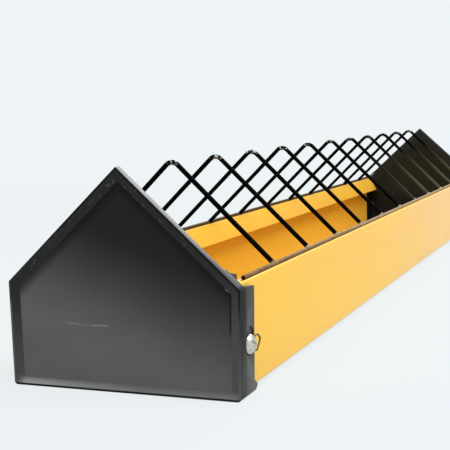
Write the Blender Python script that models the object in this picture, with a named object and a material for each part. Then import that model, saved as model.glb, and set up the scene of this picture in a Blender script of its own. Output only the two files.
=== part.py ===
"""Livestock feeding tray: a one metre trough, two end caps and a hinged wire grille.

X runs across the trough, Y along it and Z up from the floor.
The origin is the middle of the footprint, and the front end cap is at -Y.
"""
import math

import bmesh
import bpy
from mathutils import Matrix, Vector

MM = 0.001

# Fits: one clearance between pieces that rest on or pass through each other
FIT = 0.3 * MM
OVERLAP = 1.0 * MM
PAST = 5.0 * MM

# Whole tray
LENGTH = 1000.0 * MM

# Trough section
TROUGH_WIDTH = 159.0 * MM
TROUGH_WALL = 1.8 * MM
TROUGH_FLOOR_Z = 2.4 * MM
TROUGH_CORNER = 3.6 * MM
RIM_RADIUS = 1.4 * MM
RIM_DROP = 1.9 * MM
LIP_WALL = 1.6 * MM
LIP_SET_IN = 2.9 * MM
LIP_DROP = 1.8 * MM
LIP_END_Z = 54.6 * MM
LIP_LEAN = 8.4 * MM

# Wire grille
ROD_RADIUS = 1.6 * MM
ROD_SET_IN = 4.6 * MM
ROD_Z = 73.8 * MM
ROD_CHAMFER = 0.4 * MM
REST_ROD_CLEARANCE = 0.6 * MM
WIRE_RADIUS = 1.8 * MM
WIRE_COUNT = 11
END_WIRE_GAP = 87.0 * MM
GRILLE_RISE = 72.7 * MM
APEX_RADIUS = 6.2 * MM
APEX_STEP = 9.0
WIRE_BEVEL_RESOLUTION = 4

# End cap outline
SKIRT_WALL = 2.7 * MM
CAP_DRAFT = 1.2 * MM
SHOULDER_Z = 70.0 * MM
ROOF_RISE = 76.0 * MM
CAP_CORNER = 2.5 * MM

# End cap depths, measured from its outer face
CAP_PLATE = 6.0 * MM
SKIRT_DEPTH = 25.0 * MM
SKIRT_STEP = 0.6 * MM
SKIRT_RISE = 2.2 * MM
SHOULDER_PAD = 3.4 * MM
SHOULDER_PAD_LOW_Z = 58.0 * MM
FRAME_LIP = 1.5 * MM
FRAME_WIDTH = 6.8 * MM
FRAME_FOOT = 5.2 * MM
FRAME_DEPTH = 2.5 * MM
BACK_BORDER = 14.0 * MM
BACK_POCKET = 1.2 * MM

# End cap feet: a shallow arch between a front edge and a pointed rear toe
FOOT_FRONT = 2.5 * MM
ARCH_SPAN = 18.5 * MM
ARCH_RISE = 0.9 * MM
TOE_PAD = 6.0 * MM
TOE_REACH = 6.0 * MM
TOE_Z = 4.5 * MM
TOE_TOP_Z = 8.5 * MM

# End cap inner collar, hinge sockets and bolt pockets
COLLAR_WALL = 1.8 * MM
COLLAR_TOP_Z = 76.2 * MM
COLLAR_ROOF_GAP = 0.4 * MM
SOCKET_DEPTH = 3.6 * MM
POCKET_RADIUS = 7.4 * MM
POCKET_RISE = 4.0 * MM
POCKET_DEPTH = 0.9 * MM

# Fasteners
BOLT_Y = 16.0 * MM
BOLT_Z = 33.5 * MM
SHANK_RADIUS = 2.4 * MM
SHANK_PAST_NUT = 2.0 * MM
SHANK_CHAMFER = 0.5 * MM
HEAD_RADIUS = 6.6 * MM
HEAD_EDGE = 0.9 * MM
HEAD_HEIGHT = 5.2 * MM
SLOT_WIDTH = 1.5 * MM
SLOT_DEPTH = 1.5 * MM
SLOT_ANGLES = (-35.0, 20.0, 65.0, -10.0)
WASHER_RADIUS = 5.0 * MM
WASHER_THICKNESS = 1.0 * MM
NUT_ACROSS_FLATS = 8.0 * MM
NUT_THICKNESS = 4.0 * MM
NUT_CHAMFER = 0.5 * MM

ROUND_SIDES = 24
FINE_SIDES = 48
ARC_STEP = 15.0
ARCH_STEP = 2.5
CROWN_STEP = 11.0

# Places worked out from the sizes above
TROUGH_HALF = TROUGH_WIDTH / 2
TROUGH_END = LENGTH / 2 - CAP_PLATE - SHOULDER_PAD - FIT
TROUGH_INNER = TROUGH_HALF - TROUGH_WALL
ROD_X = TROUGH_HALF - ROD_SET_IN
FLOOR_TOP_Z = TROUGH_FLOOR_Z + TROUGH_WALL
GROOVE_RADIUS = ROD_RADIUS + FIT
LIP_CENTRE_X = ROD_X - LIP_SET_IN
LIP_TOP_Z = ROD_Z - LIP_DROP
LIP_INNER_X = LIP_CENTRE_X - LIP_WALL / 2
LIP_SLANT = math.atan2(LIP_LEAN, LIP_TOP_Z - LIP_END_Z - LIP_WALL / 2)
CAP_HALF = TROUGH_HALF + FIT + SKIRT_WALL
CAP_BASE_HALF = CAP_HALF - CAP_DRAFT
PEAK_Z = SHOULDER_Z + ROOF_RISE
SKIRT_TOP_Z = SHOULDER_Z - SKIRT_STEP
COLLAR_OUTER = LIP_INNER_X - FIT
COLLAR_INNER = COLLAR_OUTER - COLLAR_WALL
COLLAR_SIDE = TROUGH_INNER - FIT
COLLAR_SIDE_INNER = COLLAR_SIDE - COLLAR_WALL
GRILLE_ANGLE = math.degrees(math.atan2(GRILLE_RISE, ROD_X))
FAR = 2 * CAP_HALF


def skirt_face_x(z):
    """Half width of the cap's drafted side at a height."""
    return CAP_BASE_HALF + CAP_DRAFT * z / SHOULDER_Z


def roof_z(x):
    """Height of the cap's roof line at a distance from the middle."""
    return PEAK_Z - ROOF_RISE * x / CAP_HALF


def width_by_lip(distance, z):
    """Half width, at a height, of a line along the lip at a distance inside its middle."""
    start_x = LIP_CENTRE_X - distance * math.cos(LIP_SLANT)
    start_z = LIP_TOP_Z + distance * math.sin(LIP_SLANT)
    return start_x - (start_z - z) * math.tan(LIP_SLANT)


def height_by_lip(distance, x):
    """Height, at a half width, of a line along the lip at a distance inside its middle."""
    start_x = LIP_CENTRE_X - distance * math.cos(LIP_SLANT)
    start_z = LIP_TOP_Z + distance * math.sin(LIP_SLANT)
    return start_z - (start_x - x) / math.tan(LIP_SLANT)


def arc(centre, radius, start, end, step=ARC_STEP):
    """Points along an arc, with both ends, from angles in degrees."""
    count = max(1, math.ceil(abs(end - start) / step))
    points = []
    for index in range(count + 1):
        angle = math.radians(start + (end - start) * index / count)
        points.append((centre[0] + radius * math.cos(angle), centre[1] + radius * math.sin(angle)))
    return points


def crossing_tangent(first, first_radius, second, second_radius, side):
    """Angle, in degrees, at which a line touches two circles on opposite sides."""
    gap = Vector(second) - Vector(first)
    toward = math.degrees(math.atan2(gap.y, gap.x))
    spread = math.degrees(math.acos((first_radius + second_radius) / gap.length))
    return toward + side * spread


def fillet(corner, before, after, radius):
    """Points that round one corner of an outline between its two neighbours."""
    corner = Vector(corner)
    back = (Vector(before) - corner).normalized()
    ahead = (Vector(after) - corner).normalized()
    half = back.angle(ahead) / 2
    centre = corner + (back + ahead).normalized() * (radius / math.sin(half))
    start = corner + back * (radius / math.tan(half))
    end = corner + ahead * (radius / math.tan(half))
    first = math.degrees(math.atan2(start.y - centre.y, start.x - centre.x))
    last = math.degrees(math.atan2(end.y - centre.y, end.x - centre.x))
    turn = (last - first + 180.0) % 360.0 - 180.0
    return arc(centre, radius, first, first + turn)


def inset(outline, distances):
    """Move each edge of a convex anticlockwise outline inward by its own distance."""
    lines = []
    count = len(outline)
    for index in range(count):
        start = Vector(outline[index])
        run = (Vector(outline[(index + 1) % count]) - start).normalized()
        inward = Vector((-run.y, run.x))
        lines.append((start + inward * distances[index], run))
    points = []
    for index in range(count):
        start, run = lines[index - 1]
        other, other_run = lines[index]
        across = run.x * other_run.y - run.y * other_run.x
        gap = other - start
        along = (gap.x * other_run.y - gap.y * other_run.x) / across
        points.append(tuple(start + run * along))
    return points


def material(name, colour, roughness, metallic=0.0):
    """A plain Principled material from an sRGB colour of 0 to 255."""
    linear = [(value / 255.0) ** 2.2 for value in colour]
    result = bpy.data.materials.new(name)
    result.use_nodes = True
    shader = result.node_tree.nodes["Principled BSDF"]
    shader.inputs["Base Color"].default_value = (*linear, 1.0)
    shader.inputs["Roughness"].default_value = roughness
    shader.inputs["Metallic"].default_value = metallic
    result.diffuse_color = (*linear, 1.0)
    return result


def new_object(name, data, finish=None):
    """Link an object to the scene with one material."""
    result = bpy.data.objects.new(name, data)
    bpy.context.scene.collection.objects.link(result)
    if finish is not None:
        data.materials.clear()
        data.materials.append(finish)
    return result


def finish_mesh(name, shape):
    """Turn a bmesh into mesh data with its faces pointing out."""
    bmesh.ops.recalc_face_normals(shape, faces=shape.faces)
    data = bpy.data.meshes.new(name)
    shape.to_mesh(data)
    shape.free()
    return data


def loft(name, first, second, place):
    """Join two outlines of equal count; place turns (u, v, end) into a point."""
    shape = bmesh.new()
    near = [shape.verts.new(place(u, v, 0)) for u, v in first]
    far = [shape.verts.new(place(u, v, 1)) for u, v in second]
    shape.faces.new(near)
    shape.faces.new(far)
    for index in range(len(near)):
        after = (index + 1) % len(near)
        shape.faces.new((near[index], near[after], far[after], far[index]))
    return finish_mesh(name, shape)


def section(name, outline, start, end):
    """Extrude an X-Z outline along Y."""
    return loft(name, outline, outline, lambda x, z, side: (x, (start, end)[side], z))


def side_section(name, outline, start, end):
    """Extrude a Y-Z outline along X."""
    return loft(name, outline, outline, lambda y, z, side: ((start, end)[side], y, z))


def lathe(name, profile, axis, sides=ROUND_SIDES):
    """Turn a profile of (height, radius) points about the X or Y axis."""
    shape = bmesh.new()
    points = [shape.verts.new((radius, 0.0, height)) for height, radius in profile]
    edges = [shape.edges.new(pair) for pair in zip(points, points[1:])]
    bmesh.ops.spin(shape, geom=points + edges, axis=(0, 0, 1), cent=(0, 0, 0),
                   angle=math.tau, steps=sides)
    bmesh.ops.remove_doubles(shape, verts=shape.verts, dist=0.001 * MM)
    turn = Matrix.Rotation(math.radians(90), 4, "Y")
    if axis == "Y":
        turn = Matrix.Rotation(math.radians(-90), 4, "X")
    bmesh.ops.transform(shape, matrix=turn, verts=shape.verts)
    return finish_mesh(name, shape)


def smooth(item, angle=35.0):
    """Shade a round piece smooth and keep its real edges sharp."""
    item.data.shade_smooth()
    item.data.set_sharp_from_angle(angle=math.radians(angle))


def cut(target, data, operation="DIFFERENCE"):
    """Add a Boolean with a hidden cutter of its own."""
    tool = new_object("cutter_" + data.name, data)
    tool.hide_render = True
    tool.display_type = "WIRE"
    step = target.modifiers.new(data.name, "BOOLEAN")
    step.operation = operation
    step.object = tool
    return tool


def freeze(item):
    """Bake an object's Booleans into its mesh and remove the cutters."""
    bpy.context.view_layer.update()
    view = bpy.context.evaluated_depsgraph_get()
    baked = bpy.data.meshes.new_from_object(item.evaluated_get(view))
    baked.name = item.name
    tools = [step.object for step in item.modifiers if step.type == "BOOLEAN"]
    item.modifiers.clear()
    item.data = baked
    for tool in tools:
        bpy.data.objects.remove(tool)
    return item


def trough_half_outline():
    """Right half of the trough section, from its outer corner over the rim to its floor."""
    rim = (TROUGH_HALF - RIM_RADIUS, ROD_Z - RIM_DROP)
    seat = (ROD_X, ROD_Z)
    lip = (LIP_CENTRE_X, LIP_TOP_Z)
    lip_radius = LIP_WALL / 2
    lip_end = (LIP_CENTRE_X - LIP_LEAN, LIP_END_Z + lip_radius)
    lip_side = 180.0 - math.degrees(LIP_SLANT)
    off_rim = crossing_tangent(rim, RIM_RADIUS, seat, GROOVE_RADIUS, -1)
    off_lip = crossing_tangent(lip, lip_radius, seat, GROOVE_RADIUS, 1)
    under_groove = ROD_Z - GROOVE_RADIUS - TROUGH_WALL
    corner = (TROUGH_HALF, TROUGH_FLOOR_Z)
    points = fillet(corner, (0.0, TROUGH_FLOOR_Z), rim, TROUGH_CORNER)
    points += arc(rim, RIM_RADIUS, 0.0, off_rim)
    points += arc(seat, GROOVE_RADIUS, off_rim + 180.0, off_lip + 180.0)
    points += arc(lip, lip_radius, off_lip, lip_side)
    points += arc(lip_end, lip_radius, lip_side, lip_side + 180.0)
    points += [(width_by_lip(-lip_radius, under_groove), under_groove), (TROUGH_INNER, under_groove)]
    points += fillet((TROUGH_INNER, FLOOR_TOP_Z), (TROUGH_INNER, under_groove),
                     (0.0, FLOOR_TOP_Z), TROUGH_CORNER - TROUGH_WALL)
    return points


def make_trough(finish):
    """The trough: one constant section with a slanted lip and a rod groove on each rim."""
    right = trough_half_outline()
    left = [(-x, z) for x, z in reversed(right)]
    trough = new_object("trough", section("trough", right + left, -TROUGH_END, TROUGH_END), finish)
    for name, y in (("front", BOLT_Y - LENGTH / 2), ("rear", LENGTH / 2 - BOLT_Y)):
        hole = lathe(name + "_hole", [(-FAR, 0.0), (-FAR, SHANK_RADIUS + FIT),
                                      (FAR, SHANK_RADIUS + FIT), (FAR, 0.0)], "X")
        cut(trough, hole).location = (0.0, y, BOLT_Z)
    freeze(trough)
    smooth(trough)
    return trough


def house_outline():
    """The cap seen from its end, anticlockwise: drafted sides under a pitched roof."""
    return [(-CAP_BASE_HALF, 0.0), (CAP_BASE_HALF, 0.0), (CAP_HALF, SHOULDER_Z),
            (0.0, PEAK_Z), (-CAP_HALF, SHOULDER_Z)]


def rounded_house():
    """The cap's outline with its two floor corners rounded."""
    house = house_outline()
    right = fillet(house[1], house[0], house[2], CAP_CORNER)
    left = fillet(house[0], house[4], house[1], CAP_CORNER)
    return left + right + house[2:]


def cap_side_outline():
    """The cap seen from its side: feet, toe, skirt and the deep edge of the plate."""
    arch_end = FOOT_FRONT + ARCH_SPAN
    half = ARCH_SPAN / 2
    radius = (half ** 2 + ARCH_RISE ** 2) / (2 * ARCH_RISE)
    spread = math.degrees(math.asin(half / radius))
    arch = arc((FOOT_FRONT + half, ARCH_RISE - radius), radius, 90.0 + spread, 90.0 - spread,
               ARCH_STEP)
    return [(-PAST, -PAST), (FOOT_FRONT, -PAST), *arch, (arch_end, -PAST),
            (arch_end + TOE_PAD, -PAST), (arch_end + TOE_PAD, 0.0),
            (SKIRT_DEPTH + TOE_REACH, TOE_Z), (SKIRT_DEPTH, TOE_TOP_Z),
            (SKIRT_DEPTH, SKIRT_TOP_Z), (CAP_PLATE, SKIRT_TOP_Z + SKIRT_RISE),
            (CAP_PLATE, PEAK_Z + PAST), (-PAST, PEAK_Z + PAST)]


def cavity_outline():
    """The space for the trough between the skirts, open at the top."""
    half = TROUGH_HALF + FIT
    low = TROUGH_FLOOR_Z - FIT
    top = PEAK_Z + PAST
    radius = TROUGH_CORNER + FIT
    left = fillet((-half, low), (-half, top), (half, low), radius)
    right = fillet((half, low), (-half, low), (half, top), radius)
    return left + right + [(half, top), (-half, top)]


def collar_outline():
    """The collar follows the trough's inside: floor, wall, under the lip and up beside it."""
    low = FLOOR_TOP_Z + FIT
    shelf = LIP_END_Z - FIT
    under = shelf - COLLAR_WALL
    near = LIP_WALL / 2 + FIT
    far = near + COLLAR_WALL
    right = fillet((COLLAR_SIDE, low), (0.0, low), (COLLAR_SIDE, shelf),
                   TROUGH_CORNER - TROUGH_WALL - FIT)
    right += [(COLLAR_SIDE, shelf), (width_by_lip(near, shelf), shelf),
              (COLLAR_OUTER, height_by_lip(near, COLLAR_OUTER)), (COLLAR_OUTER, PEAK_Z),
              (COLLAR_INNER, PEAK_Z), (COLLAR_INNER, height_by_lip(far, COLLAR_INNER)),
              (width_by_lip(far, under), under), (COLLAR_SIDE_INNER, under),
              (COLLAR_SIDE_INNER, low + COLLAR_WALL)]
    left = [(-x, z) for x, z in reversed(right)]
    return right + left


def collar_side_outline():
    """The collar seen from its side: its top slopes up to the roof edge as a gusset."""
    high = roof_z(COLLAR_OUTER) - COLLAR_ROOF_GAP
    return [(0.0, -PAST), (SKIRT_DEPTH + PAST, -PAST), (SKIRT_DEPTH + PAST, COLLAR_TOP_Z),
            (SKIRT_DEPTH, COLLAR_TOP_Z), (CAP_PLATE, high), (0.0, high)]


def shoulder_outline():
    """One of two pads behind the plate, under the roof, that the trough's ends stop against."""
    inner = COLLAR_OUTER - OVERLAP
    outer = TROUGH_HALF + FIT + OVERLAP
    low = SHOULDER_PAD_LOW_Z
    return [(inner, low), (outer, low), (outer, roof_z(outer)), (inner, roof_z(inner))]


def frame_recess():
    """The cutter for the front panel: a sloping picture frame inside a thin lip."""
    house = house_outline()
    back = [FRAME_FOOT, FRAME_WIDTH, FRAME_WIDTH, FRAME_WIDTH, FRAME_WIDTH]
    front = [2 * FRAME_LIP - distance for distance in back]
    return loft("panel", inset(house, front), inset(house, back),
                lambda x, z, side: (x, (-FRAME_DEPTH, FRAME_DEPTH)[side], z))


def back_outline():
    """The shallow pocket behind the panel, inside the collar and under the roof."""
    low = FLOOR_TOP_Z + FIT + COLLAR_WALL
    house = house_outline()
    return inset(house, [low, BACK_BORDER, BACK_BORDER, BACK_BORDER, BACK_BORDER])


def pocket_outline():
    """The bolt's pocket on the skirt: round below, lengthened upward."""
    low = arc((BOLT_Y, BOLT_Z), POCKET_RADIUS, 180.0, 360.0)
    high = arc((BOLT_Y, BOLT_Z + POCKET_RISE), POCKET_RADIUS, 0.0, 180.0)
    return low + high


def make_cap_mesh(finish):
    """One moulding serves both ends: plate, skirts, collar, pads and hinge sockets."""
    reach = SKIRT_DEPTH + TOE_REACH
    cap = new_object("cap", section("cap", rounded_house(), 0.0, reach + PAST), finish)
    cut(cap, side_section("side", cap_side_outline(), -FAR, FAR), "INTERSECT")
    cut(cap, section("cavity", cavity_outline(), CAP_PLATE, reach + 2 * PAST))
    cut(cap, section("back", back_outline(), CAP_PLATE - BACK_POCKET, CAP_PLATE + OVERLAP / 2))
    root = CAP_PLATE - BACK_POCKET - OVERLAP
    collar = new_object("collar", section("collar", collar_outline(), root, SKIRT_DEPTH))
    cut(collar, side_section("collar_side", collar_side_outline(), -FAR, FAR), "INTERSECT")
    freeze(collar)
    cut(cap, collar.data, "UNION")
    bpy.data.objects.remove(collar)
    pad = shoulder_outline()
    mirrored = [(-x, z) for x, z in reversed(pad)]
    pad_end = CAP_PLATE + SHOULDER_PAD
    cut(cap, section("pad_right", pad, CAP_PLATE - OVERLAP, pad_end), "UNION")
    cut(cap, section("pad_left", mirrored, CAP_PLATE - OVERLAP, pad_end), "UNION")
    floor_x = skirt_face_x(BOLT_Z) - POCKET_DEPTH
    cut(cap, side_section("pocket_right", pocket_outline(), floor_x, FAR))
    cut(cap, side_section("pocket_left", pocket_outline(), -FAR, -floor_x))
    bore = lathe("bolt_hole", [(-FAR, 0.0), (-FAR, SHANK_RADIUS + FIT),
                               (FAR, SHANK_RADIUS + FIT), (FAR, 0.0)], "X")
    cut(cap, bore).location = (0.0, BOLT_Y, BOLT_Z)
    for x in (-ROD_X, ROD_X):
        socket = lathe("socket", [(0.0, 0.0), (0.0, GROOVE_RADIUS),
                                  (SOCKET_DEPTH + PAST, GROOVE_RADIUS),
                                  (SOCKET_DEPTH + PAST, 0.0)], "Y", ROUND_SIDES // 2)
        cut(cap, socket).location = (x, CAP_PLATE - SOCKET_DEPTH, ROD_Z)
    cut(cap, frame_recess())
    freeze(cap)
    smooth(cap, 25.0)
    mesh = cap.data
    bpy.data.objects.remove(cap)
    return mesh


def make_caps(finish):
    """Place the same moulding at both ends, the rear one turned round."""
    mesh = make_cap_mesh(finish)
    front = new_object("end_cap_front", mesh, finish)
    front.location = (0.0, -LENGTH / 2, 0.0)
    rear = new_object("end_cap_rear", mesh, finish)
    rear.location = (0.0, LENGTH / 2, 0.0)
    rear.rotation_euler = (0.0, 0.0, math.pi)
    return front, rear


def rod(name, start, end, finish):
    """A straight rod along Y with chamfered ends."""
    profile = [(start, 0.0), (start, ROD_RADIUS - ROD_CHAMFER), (start + ROD_CHAMFER, ROD_RADIUS),
               (end - ROD_CHAMFER, ROD_RADIUS), (end, ROD_RADIUS - ROD_CHAMFER), (end, 0.0)]
    result = new_object(name, lathe(name, profile, "Y"), finish)
    smooth(result)
    return result


def wire_curve(finish):
    """One bent wire, seen from its end: a leg, a round apex and a second leg."""
    slope = math.radians(GRILLE_ANGLE)
    shorten = ROD_RADIUS + FIT
    foot = (ROD_X - shorten * math.cos(slope), shorten * math.sin(slope))
    centre = (0.0, GRILLE_RISE - APEX_RADIUS / math.cos(slope))
    bend = arc(centre, APEX_RADIUS, 90.0 + GRILLE_ANGLE, 90.0 - GRILLE_ANGLE, APEX_STEP)
    path = [(-foot[0], foot[1]), *bend, foot]
    data = bpy.data.curves.new("cross_wire", "CURVE")
    data.dimensions = "3D"
    data.bevel_depth = WIRE_RADIUS
    data.bevel_resolution = WIRE_BEVEL_RESOLUTION
    data.use_fill_caps = True
    spline = data.splines.new("POLY")
    spline.points.add(len(path) - 1)
    for point, (x, z) in zip(spline.points, path):
        point.co = (x + ROD_X, 0.0, z, 1.0)
    spline.use_smooth = True
    data.materials.append(finish)
    return data


def make_grille(finish):
    """Two long rods and the bent wires between them, carried by the hinge rod's axis."""
    pivot = bpy.data.objects.new("grille_pivot", None)
    bpy.context.scene.collection.objects.link(pivot)
    pivot.location = (-ROD_X, 0.0, ROD_Z)
    hinge_end = LENGTH / 2 - (CAP_PLATE - SOCKET_DEPTH) - FIT
    rest_end = LENGTH / 2 - SKIRT_DEPTH - REST_ROD_CLEARANCE
    hinge_rod = rod("hinge_rod", -hinge_end, hinge_end, finish)
    rest_rod = rod("rest_rod", -rest_end, rest_end, finish)
    rest_rod.location = (2 * ROD_X, 0.0, 0.0)
    pieces = [hinge_rod, rest_rod]
    shared = wire_curve(finish)
    first_y = LENGTH / 2 - END_WIRE_GAP
    for index in range(WIRE_COUNT):
        wire = bpy.data.objects.new(f"cross_wire_{index + 1:02d}", shared)
        bpy.context.scene.collection.objects.link(wire)
        wire.location = (0.0, first_y * (2 * index / (WIRE_COUNT - 1) - 1), 0.0)
        pieces.append(wire)
    for piece in pieces:
        piece.parent = pivot
    return pivot


def bolt_mesh(seat_x):
    """A slotted mushroom head bolt along X, with its head's seat at zero."""
    nut_end = COLLAR_SIDE_INNER - 2 * FIT - WASHER_THICKNESS - NUT_THICKNESS
    tip = nut_end - SHANK_PAST_NUT - seat_x
    dome = HEAD_HEIGHT - HEAD_EDGE
    ball = (HEAD_RADIUS ** 2 + dome ** 2) / (2 * dome)
    spread = math.degrees(math.asin(HEAD_RADIUS / ball))
    crown = arc((HEAD_HEIGHT - ball, 0.0), ball, spread, 0.0, CROWN_STEP)
    profile = [(tip, 0.0), (tip, SHANK_RADIUS - SHANK_CHAMFER), (tip + SHANK_CHAMFER, SHANK_RADIUS),
               (0.0, SHANK_RADIUS), (0.0, HEAD_RADIUS)]
    profile += crown[:-1] + [(HEAD_HEIGHT, 0.0)]
    return lathe("bolt", profile, "X")


def make_bolt(name, seat_x, slot_angle, finish):
    """One bolt with its slot cut across the head."""
    bolt = new_object(name, bolt_mesh(seat_x), finish)
    half = SLOT_WIDTH / 2
    low = HEAD_HEIGHT - SLOT_DEPTH
    bar = [(-HEAD_RADIUS - PAST, -half), (HEAD_RADIUS + PAST, -half),
           (HEAD_RADIUS + PAST, half), (-HEAD_RADIUS - PAST, half)]
    slot = cut(bolt, side_section("slot", bar, low, HEAD_HEIGHT + PAST))
    slot.rotation_euler = (math.radians(slot_angle), 0.0, 0.0)
    freeze(bolt)
    smooth(bolt, 30.0)
    return bolt


def washer_mesh():
    """A flat washer along X, centred on its thickness."""
    half = WASHER_THICKNESS / 2
    hole = SHANK_RADIUS + FIT
    ring = [(-half, hole), (-half, WASHER_RADIUS), (half, WASHER_RADIUS), (half, hole), (-half, hole)]
    return lathe("washer", ring, "X")


def make_nut(name, finish):
    """A hexagon nut along X with its corners turned off at both faces."""
    half = NUT_THICKNESS / 2
    corner = NUT_ACROSS_FLATS / 2 / math.cos(math.radians(30))
    hexagon = [(-half, 0.0), (-half, corner), (half, corner), (half, 0.0)]
    nut = new_object(name, lathe(name, hexagon, "X", 6), finish)
    rise = NUT_CHAMFER
    face = NUT_ACROSS_FLATS / 2
    wide = corner + PAST
    slope = (wide - face) * math.tan(math.radians(30))
    turned = [(-half - rise, 0.0), (-half - rise, face - rise), (-half + slope, wide),
              (half - slope, wide), (half + rise, face - rise), (half + rise, 0.0)]
    cut(nut, lathe("turned", turned, "X", FINE_SIDES), "INTERSECT")
    bore = [(-NUT_THICKNESS, 0.0), (-NUT_THICKNESS, SHANK_RADIUS + FIT),
            (NUT_THICKNESS, SHANK_RADIUS + FIT), (NUT_THICKNESS, 0.0)]
    cut(nut, lathe("nut_bore", bore, "X"))
    freeze(nut)
    smooth(nut)
    return nut


def make_fasteners(finish):
    """A bolt, washer and nut through the skirt, wall and collar at each corner."""
    seat_x = skirt_face_x(BOLT_Z) - POCKET_DEPTH + FIT
    washer_x = COLLAR_SIDE_INNER - FIT - WASHER_THICKNESS / 2
    nut_x = COLLAR_SIDE_INNER - 2 * FIT - WASHER_THICKNESS - NUT_THICKNESS / 2
    washer_data = washer_mesh()
    corners = [("front_right", -1, 1), ("front_left", -1, -1),
               ("rear_right", 1, 1), ("rear_left", 1, -1)]
    for (corner, end, side), slot_angle in zip(corners, SLOT_ANGLES):
        y = end * (LENGTH / 2 - BOLT_Y)
        bolt = make_bolt("bolt_" + corner, seat_x, slot_angle, finish)
        washer = new_object("washer_" + corner, washer_data, finish)
        smooth(washer)
        nut = make_nut("nut_" + corner, finish)
        for piece, x in ((bolt, seat_x), (washer, washer_x), (nut, nut_x)):
            piece.location = (side * x, y, BOLT_Z)
            piece.rotation_euler = (0.0, 0.0, math.radians(90 - 90 * side))


def main():
    """Clear the scene and build the tray."""
    for item in list(bpy.data.objects):
        bpy.data.objects.remove(item)
    yellow = material("trough_yellow", (252, 202, 100), 0.45)
    black = material("cap_black", (58, 60, 59), 0.5)
    wire_black = material("wire_black", (24, 22, 20), 0.4)
    zinc = material("zinc", (199, 198, 190), 0.3, 1.0)
    make_trough(yellow)
    make_caps(black)
    make_grille(wire_black)
    make_fasteners(zinc)


main()
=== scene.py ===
# %% [markdown]
# # A livestock feeding tray
#
# The real thing is a metre of extruded yellow trough. A black moulded cap closes each end, and a
# grille of bent wires keeps the birds from standing in the feed. The grille turns up about one rim.
#
# The measured solids come first, as a fixed frame in metres: X runs across the tray, Y along it and
# Z up from the floor. Everything that follows is modelled where those solids say, so no piece is
# fitted by eye.

# %% Load the measured solids
import math

import bpy
from mathutils import Matrix, Vector


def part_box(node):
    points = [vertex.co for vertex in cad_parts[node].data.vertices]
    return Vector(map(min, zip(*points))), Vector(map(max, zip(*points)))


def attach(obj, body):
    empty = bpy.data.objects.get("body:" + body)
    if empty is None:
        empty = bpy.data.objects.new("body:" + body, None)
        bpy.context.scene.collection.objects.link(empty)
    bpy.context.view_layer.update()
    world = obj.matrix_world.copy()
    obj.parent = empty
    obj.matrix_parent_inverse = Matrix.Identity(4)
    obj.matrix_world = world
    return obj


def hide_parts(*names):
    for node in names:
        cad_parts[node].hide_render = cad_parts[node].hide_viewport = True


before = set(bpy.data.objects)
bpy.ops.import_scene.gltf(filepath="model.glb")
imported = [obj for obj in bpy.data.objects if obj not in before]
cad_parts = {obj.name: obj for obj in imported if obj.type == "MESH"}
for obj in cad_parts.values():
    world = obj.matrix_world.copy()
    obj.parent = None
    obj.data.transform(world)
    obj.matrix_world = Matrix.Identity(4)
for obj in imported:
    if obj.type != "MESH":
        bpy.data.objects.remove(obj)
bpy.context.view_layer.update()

# %% [markdown]
# ## The camera
#
# The photograph shows the tray from its right front corner, a little above the rim, through a fairly
# long lens: the far cap looks small but its lines are hardly bent. The place and the turns were
# worked out from corners of the caps whose positions are known, so they are numbers, not a guess.

# %% Camera
CAMERA_PLACE = Vector((0.306192, -1.089316, 0.178976))
LOOK_DOWN = 0.108
LOOK_LEFT = 0.376
ROLL = 0.025
LENS = 83.863

ahead = Vector((-math.sin(LOOK_LEFT) * math.cos(LOOK_DOWN),
                math.cos(LOOK_LEFT) * math.cos(LOOK_DOWN), -math.sin(LOOK_DOWN)))
level = Vector((math.cos(LOOK_LEFT), math.sin(LOOK_LEFT), 0.0))
below = ahead.cross(level)
right = level * math.cos(ROLL) + below * math.sin(ROLL)
down = below * math.cos(ROLL) - level * math.sin(ROLL)
camera_turn = Matrix((right, -down, -ahead)).transposed().to_4x4()

bpy.ops.object.camera_add(location=CAMERA_PLACE)
camera = bpy.context.object
camera.name = "camera"
camera.matrix_world = Matrix.Translation(CAMERA_PLACE) @ camera_turn
camera.data.sensor_width = 36.0
camera.data.lens = LENS
bpy.context.scene.camera = camera
print("camera looks along", [round(value, 3) for value in ahead])

# %% [markdown]
# ## Colours and nodes
#
# Colours are written as they are seen, as sRGB hex values, and Blender shades with linear light, so
# one function turns the first into the second. One more adds a node with its settings and fills its
# inputs. An input takes a plain number or colour, or another node, and then it is linked to that
# node's result. That keeps each finish below to a few readable lines.

# %% Colours and nodes
def colour(code):
    """Linear RGBA from an sRGB hex value."""
    parts = [int(code[start:start + 2], 16) / 255.0 for start in (1, 3, 5)]
    linear = [part / 12.92 if part <= 0.04045 else ((part + 0.055) / 1.055) ** 2.4 for part in parts]
    return (*linear, 1.0)


def connect(tree, node, inputs):
    """Give each input of a node its value, or a link from another node's result."""
    for name, value in inputs.items():
        if isinstance(value, bpy.types.Node):
            value = next(output for output in value.outputs if output.enabled)
        if isinstance(value, bpy.types.NodeSocket):
            tree.links.new(value, node.inputs[name])
        else:
            node.inputs[name].default_value = value


def add(tree, kind, inputs=None, **settings):
    """Add one node with its settings, values and links."""
    node = tree.nodes.new("ShaderNode" + kind)
    for name, value in settings.items():
        setattr(node, name, value)
    connect(tree, node, inputs or {})
    return node


print("white is", colour("#FFFFFF"))

# %% [markdown]
# ## Studio: floor, backdrop and light
#
# The tray stands on a pale sweep that runs into the background with no line. A real sweep is a sheet
# of paper curved up behind the object. Here the floor fades into the same pale blue white as the
# world, which needs no curve and hides the horizon from every side. What the camera and shiny things
# see of both is that plain colour. The light that reaches the tray comes from the lamps, from a soft
# sky, and from the floor as white paper would throw it back. Close to the tray a share of the floor
# is lit paper, so that it keeps the tray's soft shadow.

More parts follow.
